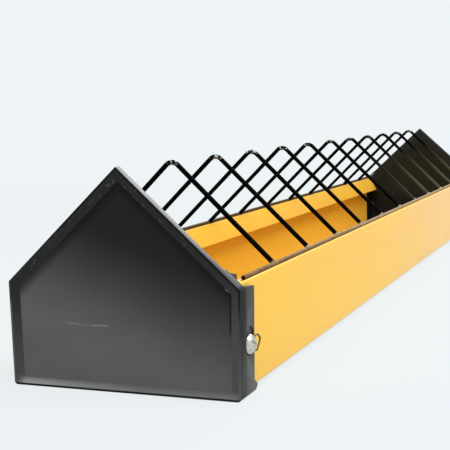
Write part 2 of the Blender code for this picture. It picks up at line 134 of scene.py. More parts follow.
# %% Floor
BACKGROUND = colour("#EFF5F7")
PAPER = colour("#D0D2D1")
SHADOW_SHARE = 0.14
SHADOW_FULL = 0.7
SHADOW_GONE = 2.6


def rename(name):
    """Name the active object and its mesh."""
    piece = bpy.context.object
    piece.name = name
    piece.data.name = name
    return piece


def looked_at(tree):
    """1 for what the camera sees, straight or in something shiny or clear, and 0 for the light."""
    ray = add(tree, "LightPath").outputs
    shiny = add(tree, "Math", {0: ray["Is Glossy Ray"], 1: ray["Is Transmission Ray"]}, operation="MAXIMUM")
    return add(tree, "Math", {0: ray["Is Camera Ray"], 1: shiny}, operation="MAXIMUM")


bpy.ops.mesh.primitive_plane_add(size=60.0, location=(0.0, 0.0, 0.0))
floor = rename("floor")
paper = bpy.data.materials.new("white_sweep_paper")
paper.use_nodes = True
tree = paper.node_tree
tree.nodes.remove(tree.nodes["Principled BSDF"])
place = add(tree, "TexCoord").outputs["Object"]
away = add(tree, "VectorMath", {0: place}, operation="LENGTH")
near = add(tree, "MapRange", {0: away, 1: SHADOW_FULL, 2: SHADOW_GONE, 3: SHADOW_SHARE, 4: 0.0},
           interpolation_type="SMOOTHSTEP")
lit = add(tree, "BsdfDiffuse", {"Color": PAPER})
plain = add(tree, "Emission", {"Color": BACKGROUND, "Strength": 1.0})
look = add(tree, "MixShader", {0: near, 1: plain, 2: lit})
both = add(tree, "MixShader", {0: looked_at(tree), 1: lit, 2: look})
connect(tree, tree.nodes["Material Output"], {"Surface": both})
floor.data.materials.append(paper)
print("floor keeps", SHADOW_SHARE, "of its shadow")

# %% [markdown]
# The sky is made the same way: the camera sees the plain background, and the tray gets a softer white.
# A picture of a real studio would light it as well, but it would also show in the gloss.

# %% Sky
SKY = colour("#FFFFFF")
SKY_STRENGTH = 0.62
world = bpy.data.worlds.new("studio")
bpy.context.scene.world = world
world.use_nodes = True
tree = world.node_tree
sky = tree.nodes["Background"]
connect(tree, sky, {"Color": SKY, "Strength": SKY_STRENGTH})
plain = add(tree, "Background", {"Color": BACKGROUND, "Strength": 1.0})
both = add(tree, "MixShader", {0: looked_at(tree), 1: sky, 2: plain})
connect(tree, tree.nodes["World Output"], {"Surface": both})
print("sky strength", SKY_STRENGTH)

# %% [markdown]
# The main lamp is a wide soft box above the tray and to its right, a little nearer the front cap: the
# long yellow wall, the leaning lip and the side of the cap are the bright sides, the light falls off
# towards the far cap, and the front of the near cap gets mostly what the floor throws back. A second
# soft box behind the tray puts the thin pale line on the cap's roof edge.

# %% Lamps
def soft_box(name, place, aim, width, height, power):
    """An area lamp turned to face a point."""
    bpy.ops.object.light_add(type="AREA", location=place)
    lamp = bpy.context.object
    lamp.name = name
    lamp.data.shape = "RECTANGLE"
    lamp.data.size = width
    lamp.data.size_y = height
    lamp.data.energy = power
    lamp.rotation_euler = (Vector(aim) - Vector(place)).to_track_quat("-Z", "Y").to_euler()


soft_box("main_soft_box", (1.05, -0.35, 1.8), (0.0, -0.1, 0.05), 1.3, 1.1, 33.3)
soft_box("rear_soft_box", (-0.1, 2.3, 1.75), (0.0, -0.4, 0.08), 0.9, 0.6, 26.0)

# %% [markdown]
# ## Finish: extruded PVC
#
# The trough is PVC pulled through a die. That leaves a satin skin with very faint lines along its
# length, and a colour that drifts a little from place to place. Die lines are a fraction of a
# millimetre wide and would not show, so they are drawn about one and a half millimetres wide, as
# a stretched noise: fine across the trough and very long along it. The drift is a noise of about
# 70 mm, drawn out along the trough too. A pattern's scale is the number of its cells in a metre.

# %% Extruded PVC: the drawn skin
MM = 0.001


def cells(size):
    """A pattern's scale, from the size of one cell in millimetres."""
    return float(round(1000.0 / size))


def new_finish(name):
    """A material with its tree, its Principled shader and the object's own coordinates."""
    finish = bpy.data.materials.new(name)
    finish.use_nodes = True
    tree = finish.node_tree
    place = add(tree, "TexCoord").outputs["Object"]
    return finish, tree, tree.nodes["Principled BSDF"], place


yellow_pvc, tree, shader, place = new_finish("extruded_yellow_pvc")
long_lines = add(tree, "Mapping", {0: place, "Scale": (1.0, 0.006, 1.0)})
lines = add(tree, "TexNoise", {0: long_lines, "Scale": cells(1.538), "Detail": 3.0, "Roughness": 0.6})
long_patches = add(tree, "Mapping", {0: place, "Scale": (1.0, 0.22, 1.0)})
drift = add(tree, "TexNoise", {0: long_patches, "Scale": cells(71.4), "Detail": 2.0, "Roughness": 0.5})
blend = add(tree, "MapRange", {0: drift, 1: 0.35, 2: 0.65})
skin = add(tree, "Mix", {0: blend, 6: colour("#EDB522"), 7: colour("#F2BF30")}, data_type="RGBA")
streak = add(tree, "MapRange", {0: lines, 1: 0.3, 2: 0.7, 3: 0.98, 4: 1.01})
toned = add(tree, "VectorMath", {0: skin, 3: streak}, operation="SCALE")
satin = add(tree, "MapRange", {0: drift, 1: 0.3, 2: 0.7, 3: 0.36, 4: 0.46})
drawn = add(tree, "Bump", {"Height": lines, "Strength": 0.15, "Distance": 0.06 * MM})
connect(tree, shader, {"Roughness": satin, "Normal": drawn})
print("finish:", yellow_pvc.name, "with", cells(1.538), "die lines to the metre")

# %% [markdown]
# Fine feed dust clings to the skin and pales it where it is seen at a low angle, as the far end of the
# wall is. That is the sheen. On the outside of the walls more paleness is painted into the colour,
# thickening towards the rear: a painted sheen. The inside is painted a little paler all over, a
# painted haze, and the two lips a deeper yellow, which stands in for less sheen on them. Each of
# these is a mask from the place on the trough, and a colour laid over what lies under it.

# %% Painted sheen and haze on the PVC
WALL_INSIDE = 78.0 * MM
WALL_OUTSIDE = 79.0 * MM
PAINTED_SHEEN_TONE = colour("#F3DFC0")
PAINTED_HAZE_TONE = colour("#ECBE3C")
LIP_LESS_SHEEN_TONE = colour("#EDB80A")
axes = add(tree, "SeparateXYZ", {0: place}).outputs
aside = add(tree, "Math", {0: axes["X"]}, operation="ABSOLUTE")
# Painted sheen: paler towards the rear, on the outside of the walls only.
rearward_sheen = add(tree, "MapRange", {0: axes["Y"], 1: -0.15, 2: 0.50, 4: 0.22}, interpolation_type="SMOOTHSTEP")
outer = add(tree, "MapRange", {0: aside, 1: WALL_INSIDE, 2: WALL_OUTSIDE})
sheen_laid = add(tree, "Math", {0: rearward_sheen, 1: outer}, operation="MULTIPLY")
painted_light = add(tree, "Mix", {0: sheen_laid, 6: toned, 7: PAINTED_SHEEN_TONE}, data_type="RGBA")
# Painted haze: the inside a little paler all over.
within = add(tree, "MapRange", {0: aside, 1: WALL_INSIDE, 2: WALL_OUTSIDE, 3: 0.5, 4: 0.0})
hazed = add(tree, "Mix", {0: within, 6: painted_light, 7: PAINTED_HAZE_TONE}, data_type="RGBA")
# The lips painted a deeper yellow, which stands in for less sheen there.
inward = add(tree, "MapRange", {0: aside, 1: 74.0 * MM, 2: 75.0 * MM, 3: 0.8, 4: 0.0})
raised = add(tree, "MapRange", {0: axes["Z"], 1: 48.0 * MM, 2: 52.0 * MM})
on_lip = add(tree, "Math", {0: inward, 1: raised}, operation="MULTIPLY")
lip_toned = add(tree, "Mix", {0: on_lip, 6: hazed, 7: LIP_LESS_SHEEN_TONE}, data_type="RGBA")
connect(tree, shader, {"Base Color": lip_toned, "IOR": 1.53, "Specular IOR Level": 0.22,
                       "Sheen Weight": 0.34, "Sheen Roughness": 0.28})
print("dust lies outside from", WALL_OUTSIDE / MM, "mm")

# %% [markdown]
# ## Finish: moulded black polypropylene
#
# The caps are injection moulded. Their sides are fairly smooth and catch a soft grey sheen, while the
# faces that look along the trough came from parts of the mould that were etched, so they are matt and
# swallow light. One function makes each of these finishes, with its own two tones, roughness and gloss.
# The etched grain is finer than a tenth of a millimetre and is drawn about one millimetre wide.

# %% Moulded polypropylene
def moulded(name, dark, pale, roughness, specular, grit=0.15):
    """Black plastic with a fine etched grain and slight cloudiness between two tones."""
    finish, tree, shader, place = new_finish(name)
    grain = add(tree, "TexNoise", {0: place, "Scale": cells(1.111), "Detail": 2.0, "Roughness": 0.6})
    cloud = add(tree, "TexNoise", {0: place, "Scale": cells(35.7), "Detail": 3.0, "Roughness": 0.55})
    spread = add(tree, "MapRange", {0: cloud, 1: 0.3, 2: 0.7})
    skin = add(tree, "Mix", {0: spread, 6: colour(dark), 7: colour(pale)}, data_type="RGBA")
    swing = 0.4 * grit
    rough = add(tree, "MapRange", {0: grain, 1: 0.3, 2: 0.7, 3: roughness - swing, 4: roughness + swing})
    bumps = add(tree, "Bump", {"Height": grain, "Strength": grit, "Distance": 0.1 * MM})
    connect(tree, shader, {"Base Color": skin, "Roughness": rough, "Normal": bumps, "IOR": 1.49,
                           "Specular IOR Level": specular})
    return finish, tree, shader, place, skin


smooth_pp, tree, shader, place, skin = moulded("smooth_black_polypropylene", "#242524", "#383937",
                                               0.46, 0.48, 0.04)
print("finish:", smooth_pp.name)

# %% [markdown]
# The outer sides are painted darker along their front edge, a painted shade where the rounded edge
# turns away from the light, and a little darker near the top. The mask is the larger of the two, on
# the outer sides alone. It darkens the skin, and the same mask adds to the roughness.

# %% Painted shade on the outer sides
# A near-black painted shade, used for every painted shadow and dark crease on the caps.
PAINTED_SHADE = colour("#040404")
ROUGHER = 0.40
axes = add(tree, "SeparateXYZ", {0: place}).outputs
# Painted shade: the front edge of the outer sides, and a little near the top.
far = add(tree, "Math", {0: axes["Y"]}, operation="ABSOLUTE")
edge = add(tree, "MapRange", {0: far, 1: 486.0 * MM, 2: 493.0 * MM}, interpolation_type="SMOOTHSTEP")
upper = add(tree, "MapRange", {0: axes["Z"], 1: 10.0 * MM, 2: 45.0 * MM, 3: 0.3})
front = add(tree, "Math", {0: edge, 1: upper}, operation="MULTIPLY")
top = add(tree, "MapRange", {0: axes["Z"], 1: 53.0 * MM, 2: 61.0 * MM, 4: 0.28})
painted_mask = add(tree, "Math", {0: front, 1: top}, operation="MAXIMUM")
aside = add(tree, "Math", {0: axes["X"]}, operation="ABSOLUTE")
outer = add(tree, "MapRange", {0: aside, 1: 80.0 * MM, 2: 81.2 * MM})
shade_and_dull = add(tree, "Math", {0: painted_mask, 1: outer}, operation="MULTIPLY")
shaded_skin = add(tree, "Mix", {0: shade_and_dull, 6: skin, 7: PAINTED_SHADE}, data_type="RGBA")
grain_gloss = shader.inputs["Roughness"].links[0].from_socket
rough = add(tree, "Math", {0: shade_and_dull, 1: ROUGHER, 2: grain_gloss}, operation="MULTIPLY_ADD")
connect(tree, shader, {"Base Color": shaded_skin, "Roughness": rough})
print("rubbed parts are up to", ROUGHER, "rougher")

# %% [markdown]
# The etched faces inside the trough are plain, and low down they are painted darker still: a painted
# shade deep in the trough. The height alone drives that.

# %% Etched faces inside
inner_pp, tree, shader, place, skin = moulded("etched_black_polypropylene_painted_shade", "#181B15", "#1F221B", 0.6, 0.22)
height = add(tree, "SeparateXYZ", {0: place}).outputs["Z"]
# Painted shade, darker towards the bottom of the trough.
painted_low_shade = add(tree, "MapRange", {0: height, 1: 56.0 * MM, 2: 34.0 * MM, 4: 0.95},
             interpolation_type="SMOOTHSTEP")
shaded_skin = add(tree, "Mix", {0: painted_low_shade, 6: skin, 7: PAINTED_SHADE}, data_type="RGBA")
connect(tree, shader, {"Base Color": shaded_skin})
print("finish:", inner_pp.name)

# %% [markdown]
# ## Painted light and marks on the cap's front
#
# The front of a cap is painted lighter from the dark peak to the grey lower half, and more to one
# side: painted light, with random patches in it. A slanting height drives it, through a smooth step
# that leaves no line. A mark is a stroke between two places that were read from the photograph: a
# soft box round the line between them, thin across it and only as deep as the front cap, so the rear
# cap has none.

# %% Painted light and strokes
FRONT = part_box("end_cap_front")[0].y
# A mid grey, the painted light on the cap's front.
PAINTED_LIGHT_GREY = colour("#6C6E6C")


def painted_light_on(tree, place, slant, high, low, least, most):
    """How much painted light a face takes: the least above one slanting height, the most below another."""
    axes = add(tree, "SeparateXYZ", {0: place}).outputs
    lean = add(tree, "Math", {0: axes["X"], 1: slant, 2: axes["Z"]}, operation="MULTIPLY_ADD")
    painted_falloff = add(tree, "MapRange", {0: lean, 1: high * MM, 2: low * MM, 3: least, 4: most},
                  interpolation_type="SMOOTHSTEP")
    patches = add(tree, "TexNoise", {0: place, "Scale": cells(62.5), "Detail": 4.0, "Roughness": 0.6})
    uneven = add(tree, "MapRange", {0: patches, 1: 0.3, 2: 0.7, 3: 0.88, 4: 1.1})
    return add(tree, "Math", {0: painted_falloff, 1: uneven}, operation="MULTIPLY")


def stroke_on(tree, place, start, end, width, amount):
    """A soft stroke on the front cap, between two places given as X and Z in millimetres."""
    start = Vector((start[0] * MM, FRONT, start[1] * MM))
    end = Vector((end[0] * MM, FRONT, end[1] * MM))
    along = (end - start).normalized()
    across = Vector((-along.z, 0.0, along.x))
    inward = Vector((0.0, 1.0, 0.0))
    half = (end - start).length / 2
    thin = width * MM / 2
    moved = add(tree, "VectorMath", {0: place, 1: (start + end) / 2}, operation="SUBTRACT")
    stroke = amount
    for way, reach, soft in ((along, half, half / 2), (across, thin, thin), (inward, 10 * MM, MM)):
        length = add(tree, "VectorMath", {0: moved, 1: way}, operation="DOT_PRODUCT")
        apart = add(tree, "Math", {0: length}, operation="ABSOLUTE")
        mask = add(tree, "MapRange", {0: apart, 1: reach - soft / 2, 2: reach + soft / 2, 3: 1.0, 4: 0.0})
        stroke = add(tree, "Math", {0: stroke, 1: mask}, operation="MULTIPLY")
    return stroke


print("the front cap's face is at", round(FRONT / MM, 1), "mm")

# %% [markdown]
# The sunken panel takes most of the painted light. Just under the roof it is painted dark, a painted
# shadow of the frame above it, and its lowest edge is painted dark too, the shadow line along the
# floor. A faint scuff is made of three strokes. A thin dark crease, painted shade in the corner by the
# frame, and a short bright nick, a painted highlight at the top of that corner, are one stroke each.

# %% The panel's painted light and shade
ROOF_SLOPE = 0.921
SCUFF_AND_HIGHLIGHT = colour("#C4C6C4")
# Three faint scuffs, then the painted shade in the corner by the frame, then a painted highlight.
STROKES = (((-41.4, 43.8), (-31.2, 43.2), 1.2, 0.16, SCUFF_AND_HIGHLIGHT),
           ((-33.0, 43.1), (-19.0, 42.7), 0.9, 0.07, SCUFF_AND_HIGHLIGHT),
           ((-22.0, 42.8), (-10.3, 43.0), 1.1, 0.22, SCUFF_AND_HIGHLIGHT),
           ((74.8, 67.5), (74.4, 42.0), 1.2, 0.85, PAINTED_SHADE),
           ((71.6, 70.2), (74.2, 68.4), 0.8, 0.25, SCUFF_AND_HIGHLIGHT))
panel_pp, tree, shader, place, skin = moulded("black_polypropylene_painted_light", "#0B0C0B", "#101110", 0.62, 0.14)
axes = add(tree, "SeparateXYZ", {0: place}).outputs
painted_light = painted_light_on(tree, place, 0.36, 106.0, 20.0, 0.06, 0.87)
# Painted shadow line along the panel's lowest edge.
painted_marks = add(tree, "MapRange", {0: axes["Z"], 1: 2.6 * MM, 2: 1.2 * MM, 4: 0.95})
aside = add(tree, "Math", {0: axes["X"]}, operation="ABSOLUTE")
# Painted shadow just under the roof.
roofward = add(tree, "Math", {0: aside, 1: ROOF_SLOPE, 2: axes["Z"]}, operation="MULTIPLY_ADD")
painted_eaves_shadow = add(tree, "MapRange", {0: roofward, 1: 125.0 * MM, 2: 137.0 * MM, 4: 0.75},
            interpolation_type="SMOOTHSTEP")
layers = [(painted_light, PAINTED_LIGHT_GREY), (painted_marks, PAINTED_SHADE), (painted_eaves_shadow, PAINTED_SHADE)]
for start, end, width, amount, tone in STROKES:
    layers.append((stroke_on(tree, place, start, end, width, amount), tone))
for mask, tone in layers:
    skin = add(tree, "Mix", {0: mask, 6: skin, 7: tone}, data_type="RGBA")
connect(tree, shader, {"Base Color": skin})
print("finish:", panel_pp.name, "in", len(layers), "layers")

# %% [markdown]
# On the sloping frame round the panel the painted light is thinner, and thick and pale only along the
# foot, a painted highlight where that slope faces up into the light, less towards one side. Small pale
# chips of about 3 mm dot it along the roof.

# %% The frame's painted light
PAINTED_FOOT_LIGHT = colour("#A3A5A2")
frame_pp, tree, shader, place, skin = moulded("black_polypropylene_frame_painted_light", "#0B0C0B", "#101110",
                                              0.62, 0.14)
axes = add(tree, "SeparateXYZ", {0: place}).outputs
painted_light = painted_light_on(tree, place, -0.15, 80.0, 15.0, 0.12, 0.53)
# Painted highlight along the foot, where the slope faces up; less towards one side and at the corner.
foot = add(tree, "MapRange", {0: axes["Z"], 1: 6.6 * MM, 2: 2.6 * MM})
side = add(tree, "MapRange", {0: axes["X"], 1: -70.0 * MM, 2: 10.0 * MM, 3: 0.95, 4: 0.36})
corner = add(tree, "MapRange", {0: axes["X"], 1: -79.0 * MM, 2: -73.0 * MM, 3: 0.1})
thick = add(tree, "Math", {0: foot, 1: side}, operation="MULTIPLY")
foot_light = add(tree, "Math", {0: thick, 1: corner}, operation="MULTIPLY")
spots = add(tree, "TexNoise", {0: place, "Scale": cells(3.03), "Detail": 2.0, "Roughness": 0.5})
chipped = add(tree, "MapRange", {0: spots, 1: 0.60, 2: 0.72, 4: 0.10})
roof = add(tree, "MapRange", {0: axes["Z"], 1: 72.0 * MM, 2: 80.0 * MM})
chips = add(tree, "Math", {0: chipped, 1: roof}, operation="MULTIPLY")
layers = [(painted_light, PAINTED_LIGHT_GREY), (foot_light, PAINTED_FOOT_LIGHT), (chips, SCUFF_AND_HIGHLIGHT)]
for mask, tone in layers:
    skin = add(tree, "Mix", {0: mask, 6: skin, 7: tone}, data_type="RGBA")
connect(tree, shader, {"Base Color": skin})
print("finish:", frame_pp.name, "in", len(layers), "layers")

# %% [markdown]
# ## Finish: black wire coating
#
# The bent wires are dipped or powder coated: nearly black and slightly orange peeled. Tiny pale
# flecks at the top of each bend are painted glints. The lower right legs towards the rear cap are
# painted grey, a painted highlight where they stand out against it. Real orange peel is finer than
# the 1.4 mm cells of the noise here, which are as small as the picture can show.

# %% Wire coating
coated_wire, tree, shader, place = new_finish("black_coated_wire")
axes = add(tree, "SeparateXYZ", {0: place}).outputs
# Painted glints: pale flecks at the top of each bend.
bend = add(tree, "MapRange", {0: axes["Z"], 1: 142.0 * MM, 2: 144.0 * MM})
glint_flecks = add(tree, "TexNoise", {0: place, "Scale": cells(1.923), "Detail": 1.0, "Roughness": 0.5})
painted_mask = add(tree, "MapRange", {0: glint_flecks, 1: 0.55, 2: 0.6})
painted_marks = add(tree, "Math", {0: bend, 1: painted_mask}, operation="MULTIPLY")
coat = add(tree, "Mix", {0: painted_marks, 6: colour("#030303"), 7: colour("#C9CDCB")}, data_type="RGBA")
# Painted highlight on the lower right legs towards the rear cap.
rear = add(tree, "MapRange", {0: axes["Y"], 1: 20.0 * MM, 2: 150.0 * MM})
lower = add(tree, "MapRange", {0: axes["Z"], 1: 126.0 * MM, 2: 86.0 * MM, 4: 0.5})
right_leg = add(tree, "MapRange", {0: axes["X"], 1: 4.0 * MM, 2: 12.0 * MM})
thick = add(tree, "Math", {0: rear, 1: lower}, operation="MULTIPLY")
painted_sheen = add(tree, "Math", {0: thick, 1: right_leg}, operation="MULTIPLY")
painted_light = add(tree, "Mix", {0: painted_sheen, 6: coat, 7: colour("#6E6E60")}, data_type="RGBA")
peel = add(tree, "TexNoise", {0: place, "Scale": cells(1.429), "Detail": 2.0, "Roughness": 0.5})
rough = add(tree, "MapRange", {0: peel, 1: 0.3, 2: 0.7, 3: 0.50, 4: 0.62})
peeled = add(tree, "Bump", {"Height": peel, "Strength": 0.08, "Distance": 0.08 * MM})
connect(tree, shader, {"Base Color": painted_light, "Roughness": rough, "Normal": peeled, "IOR": 1.25,
                       "Specular IOR Level": 0.06})
print("finish:", coated_wire.name)

# %% [markdown]
# ## Finish: lacquered rods
#
# The two long rods carry a thinner lacquer over drawn steel, brown, and on the hinge rod painted
# nearly black at its front end, a painted shade. Towards the rear both take a paler tone, a painted
# reflection where they are seen at a lower angle. The drawing lines run along the rod and are drawn
# about a millimetre wide. One function makes both rods' finishes.

# %% Rod lacquer
def lacquered(name, dark, pale, reflection_tone, most, begin, full, specular):
    """Lacquered rod with faint drawing lines, and a painted reflection from one place along the tray to
    another.
    """
    finish, tree, shader, place = new_finish(name)
    along = add(tree, "Mapping", {0: place, "Scale": (1.0, 0.05, 1.0)})
    lines = add(tree, "TexNoise", {0: along, "Scale": cells(1.111), "Detail": 2.0, "Roughness": 0.6})
    cloud = add(tree, "TexNoise", {0: place, "Scale": cells(25.0), "Detail": 3.0, "Roughness": 0.6})
    spread = add(tree, "MapRange", {0: cloud, 1: 0.35, 2: 0.65})
    lacquer = add(tree, "Mix", {0: spread, 6: colour(dark), 7: colour(pale)}, data_type="RGBA")
    length = add(tree, "SeparateXYZ", {0: place}).outputs["Y"]
    amount = add(tree, "MapRange", {0: length, 1: begin, 2: full, 4: most}, interpolation_type="SMOOTHSTEP")
    reflected = add(tree, "Mix", {0: amount, 6: lacquer, 7: colour(reflection_tone)}, data_type="RGBA")
    drawn = add(tree, "Bump", {"Height": lines, "Strength": 0.3, "Distance": 0.05 * MM})
    connect(tree, shader, {"Base Color": reflected, "Roughness": 0.45, "Normal": drawn, "IOR": 1.35,
                           "Specular IOR Level": specular})
    return finish


brown_rod = lacquered("brown_lacquered_rod", "#684A2B", "#836740", "#B39C64", 0.38, -0.36, 0.02, 0.25)
# The hinge rod's copy of the lacquer, painted nearly black: a painted shade.
shaded_rod = lacquered("lacquered_rod_painted_shade", "#0C0703", "#140D06", "#5E4A28", 0.70, -0.42, -0.20, 0.04)
print("finishes:", brown_rod.name, shaded_rod.name)

# %% [markdown]
# ## Finish: plated and bare metal
#
# The bolts' heads are zinc plated, a bright grey with a faint cloud, and inside the trough the same
# zinc is painted dark, a painted shade. The welds are bare steel, the rods' cut ends have rusted, and
# the clips at the bolts look like tarnished brass wire. All are metals with a cloud of about 2 mm in
# their colour and shine, so one function makes them from two tones and a roughness.

# %% Zinc, weld metal, rust and brass
def plated(name, dark, pale, roughness):
    """Bare or plated metal with a faint cloud in its shine."""
    finish, tree, shader, place = new_finish(name)
    cloud = add(tree, "TexNoise", {0: place, "Scale": cells(2.381), "Detail": 3.0, "Roughness": 0.6})
    spread = add(tree, "MapRange", {0: cloud, 1: 0.35, 2: 0.65})
    metal = add(tree, "Mix", {0: spread, 6: colour(dark), 7: colour(pale)}, data_type="RGBA")
    rough = add(tree, "MapRange", {0: cloud, 1: 0.3, 2: 0.7, 3: roughness - 0.07, 4: roughness + 0.07})
    bumps = add(tree, "Bump", {"Height": cloud, "Strength": 0.2, "Distance": 0.08 * MM})
    connect(tree, shader, {"Base Color": metal, "Roughness": rough, "Normal": bumps, "Metallic": 1.0})
    return finish


zinc = plated("zinc_plated_steel", "#B6B2AC", "#D8D5CF", 0.29)
# The same zinc painted dark: a painted shade inside the trough.
shaded_zinc = plated("zinc_plated_steel_painted_shade", "#3B3A37", "#4B4A46", 0.5)
weld_steel = plated("bare_weld_steel", "#716D65", "#ABA59A", 0.45)
rusty_steel = plated("rusted_cut_steel", "#33200F", "#462D17", 0.6)
clip_brass = plated("tarnished_brass_wire", "#4E3A14", "#64501E", 0.42)
print("finishes:", zinc.name, shaded_zinc.name, weld_steel.name, rusty_steel.name, clip_brass.name)

# %% [markdown]
# ## The trough
#
# The trough has one section from end to end, because it is pulled through a die. So it is drawn the
# way the die is cut: one point is pulled along straight runs and swung round corners, from the middle
# of the floor, up the outside, over the rim, through the groove that the rod lies in, down the lip
# that leans in over the feed, and back along the inside. The half is mirrored, filled, and pulled to
# its length. A box with its walls pushed in would be quicker but could never have that rim.
#
# The lip leans in by about 27 degrees. The photograph shows that only through its light: the lip
# catches more of it than the wall, and the wall below lies in the lip's shade.

# %% The section's sizes
low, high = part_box("trough")
START = low.y
REACH = high.y - low.y
HALF = high.x
FLOOR_LOW = low.z
WALL = 1.8 * MM
CORNER = 3.6 * MM
ROD_X = 74.9 * MM
ROD_Z = 73.8 * MM
GROOVE = 1.9 * MM
RIM = 1.4 * MM
RIM_AT = Vector((HALF - RIM, ROD_Z - 1.9 * MM))
LIP = 0.8 * MM
LIP_AT = Vector((ROD_X - 2.9 * MM, ROD_Z - 1.8 * MM))
LIP_END_AT = LIP_AT + Vector((-8.4, -16.6)) * MM
ROD_AT = Vector((ROD_X, ROD_Z))
print("section:", round(2 * HALF / MM, 1), "mm wide and", round(WALL / MM, 1), "mm thick")

# %% [markdown]
# A mesh operator acts on whatever is selected, so the first habit to learn is to clear the selection
# before each new piece. The pen here is one live point. It is pulled straight or swung round a centre,
# and the script keeps the place where it is now, as a distance across the tray and one up.

# %% A pen for the outline
def one_point(name, place):
    """Start a piece as a single point, in edit mode, ready to be pulled."""
    bpy.ops.object.select_all(action="DESELECT")
    bpy.ops.mesh.primitive_plane_add(size=MM, location=place)
    piece = rename(name)
    bpy.ops.object.transform_apply(location=True, rotation=True, scale=True)
    bpy.ops.object.mode_set(mode="EDIT")
    bpy.ops.mesh.select_mode(type="VERT")
    bpy.ops.mesh.merge(type="CENTER")
    return piece


def pull(x=0.0, y=0.0, z=0.0):
    """Extrude what is selected by a step."""
    bpy.ops.mesh.extrude_region_move(TRANSFORM_OT_translate={"value": (x, y, z)})


def line_to(x, z):
    """Pull the live point straight to a new place in the section."""
    global pen
    step = Vector((x, z)) - pen
    pull(step.x, 0.0, step.y)
    pen = Vector((x, z))


def swing(centre, degrees, steps):
    """Swing the live point round a centre, anticlockwise as seen from the front."""
    global pen
    bpy.ops.mesh.spin(steps=steps, angle=math.radians(degrees), center=(centre.x, START, centre.y),
                      axis=(0.0, 1.0, 0.0), use_auto_merge=False)
    turn = Matrix.Rotation(math.radians(degrees), 2)
    pen = centre + turn @ (pen - centre)


pen = Vector((0.0, FLOOR_LOW))
trough = one_point("trough_extrusion", (pen.x, START, pen.y))
print("pen at", pen[:])

# %% [markdown]
# The rim and the lip each run into the groove along a straight line that touches both rounds. The place
# where it touches follows from the two radii, so the outline has no kink there.

# %% Where the rounds meet
def bearing(centre, point):
    """The angle, in degrees, from a centre to a point of the section."""
    return math.degrees(math.atan2(point.y - centre.y, point.x - centre.x))


def touch(first, first_radius, second, second_radius, side):
    """The angle at which one straight line touches two circles on opposite sides."""
    gap = second - first
    spread = math.degrees(math.acos((first_radius + second_radius) / gap.length))
    return bearing(first, second) + side * spread


def on(centre, radius, degrees):
    """The point of a circle at an angle."""
    turn = math.radians(degrees)
    return centre + Vector((math.cos(turn), math.sin(turn))) * radius


off_rim = touch(RIM_AT, RIM, ROD_AT, GROOVE, -1)
off_lip = touch(LIP_AT, LIP, ROD_AT, GROOVE, 1)
into_groove = on(ROD_AT, GROOVE, off_rim + 180.0)
out_of_groove = on(ROD_AT, GROOVE, off_lip + 180.0)
onto_lip = on(LIP_AT, LIP, off_lip)
corner_at = Vector((HALF - CORNER, FLOOR_LOW + CORNER))
slant = math.radians(90.0 - bearing(LIP_END_AT, LIP_AT))
print("lip leans by", round(math.degrees(slant), 1), "degrees")

# %% [markdown]
# Now the pen goes round half of the section. Each call is one run or one swing, and a swing's last
# number is how many steps it takes.

# %% Draw half of the section
line_to(corner_at.x, FLOOR_LOW)
swing(corner_at, 90.0, 8)
line_to(HALF, RIM_AT.y)
swing(RIM_AT, off_rim, 8)
line_to(into_groove.x, into_groove.y)
swing(ROD_AT, (bearing(ROD_AT, out_of_groove) - bearing(ROD_AT, into_groove) - 360.0) % -360.0, 12)
line_to(onto_lip.x, onto_lip.y)
lip_side = 180.0 - math.degrees(slant)
swing(LIP_AT, lip_side - off_lip, 6)
off_end = on(LIP_END_AT, LIP, lip_side)
line_to(off_end.x, off_end.y)
swing(LIP_END_AT, 180.0, 8)
under = ROD_Z - GROOVE - WALL
line_to(pen.x + (under - pen.y) * math.tan(slant), under)
line_to(HALF - WALL, under)
line_to(HALF - WALL, corner_at.y)
swing(corner_at, -90.0, 6)
line_to(0.0, FLOOR_LOW + WALL)
print("die outline ends at", [round(value / MM, 2) for value in pen], "mm")

# %% [markdown]
# The half outline is copied, mirrored across the middle and welded to itself. Then it is filled and
# pulled to the trough's length. The filled face may look either way, so all normals are turned outward
# at the end.

# %% Pull it to length
WELD_GAP = 1e-6


def weld(gap=WELD_GAP):
    """In edit mode, merge the points that lie on one another."""
    bpy.ops.mesh.select_all(action="SELECT")
    bpy.ops.mesh.remove_doubles(threshold=gap)


def face_outward():
    """In edit mode, turn all normals outward."""
    bpy.ops.mesh.select_all(action="SELECT")
    bpy.ops.mesh.normals_make_consistent(inside=False)


weld()
bpy.ops.mesh.duplicate()
bpy.ops.transform.resize(value=(-1.0, 1.0, 1.0), center_override=(0.0, START, 0.0))
weld()
bpy.ops.mesh.edge_face_add()
pull(y=REACH)
face_outward()
bpy.ops.object.mode_set(mode="OBJECT")
trough_size = [round(value / MM, 1) for value in trough.dimensions]
print("trough:", len(trough.data.polygons), "faces, size", trough_size, "mm")

# %% [markdown]
# Each end has a hole in both walls for the bolt that holds the cap. Drilling is a cut, so each hole
# is a Boolean with a round bar as its cutter, applied and thrown away.

# %% Drill the bolt holes
QUARTER = math.radians(90)
BOLT_Y = 484.0 * MM
BOLT_Z = 33.5 * MM
HOLE = 2.7 * MM


def take(piece):
    """Select one object alone and make it the active one."""
    bpy.ops.object.select_all(action="DESELECT")
    piece.select_set(True)
    bpy.context.view_layer.objects.active = piece


def cut_away(piece, cutter):
    """Cut one closed shape out of a piece and throw the cutter away."""
    take(piece)
    step = piece.modifiers.new("cut", "BOOLEAN")
    step.operation = "DIFFERENCE"
    step.object = cutter
    bpy.ops.object.modifier_apply(modifier=step.name)
    bpy.data.objects.remove(cutter)


def settle(piece, angle=40):
    """Put the place into the mesh, and shade it smooth except over edges sharper than the angle."""
    take(piece)
    bpy.ops.object.transform_apply(location=True, rotation=True, scale=True)
    bpy.ops.object.shade_smooth_by_angle(angle=math.radians(angle))
    return piece


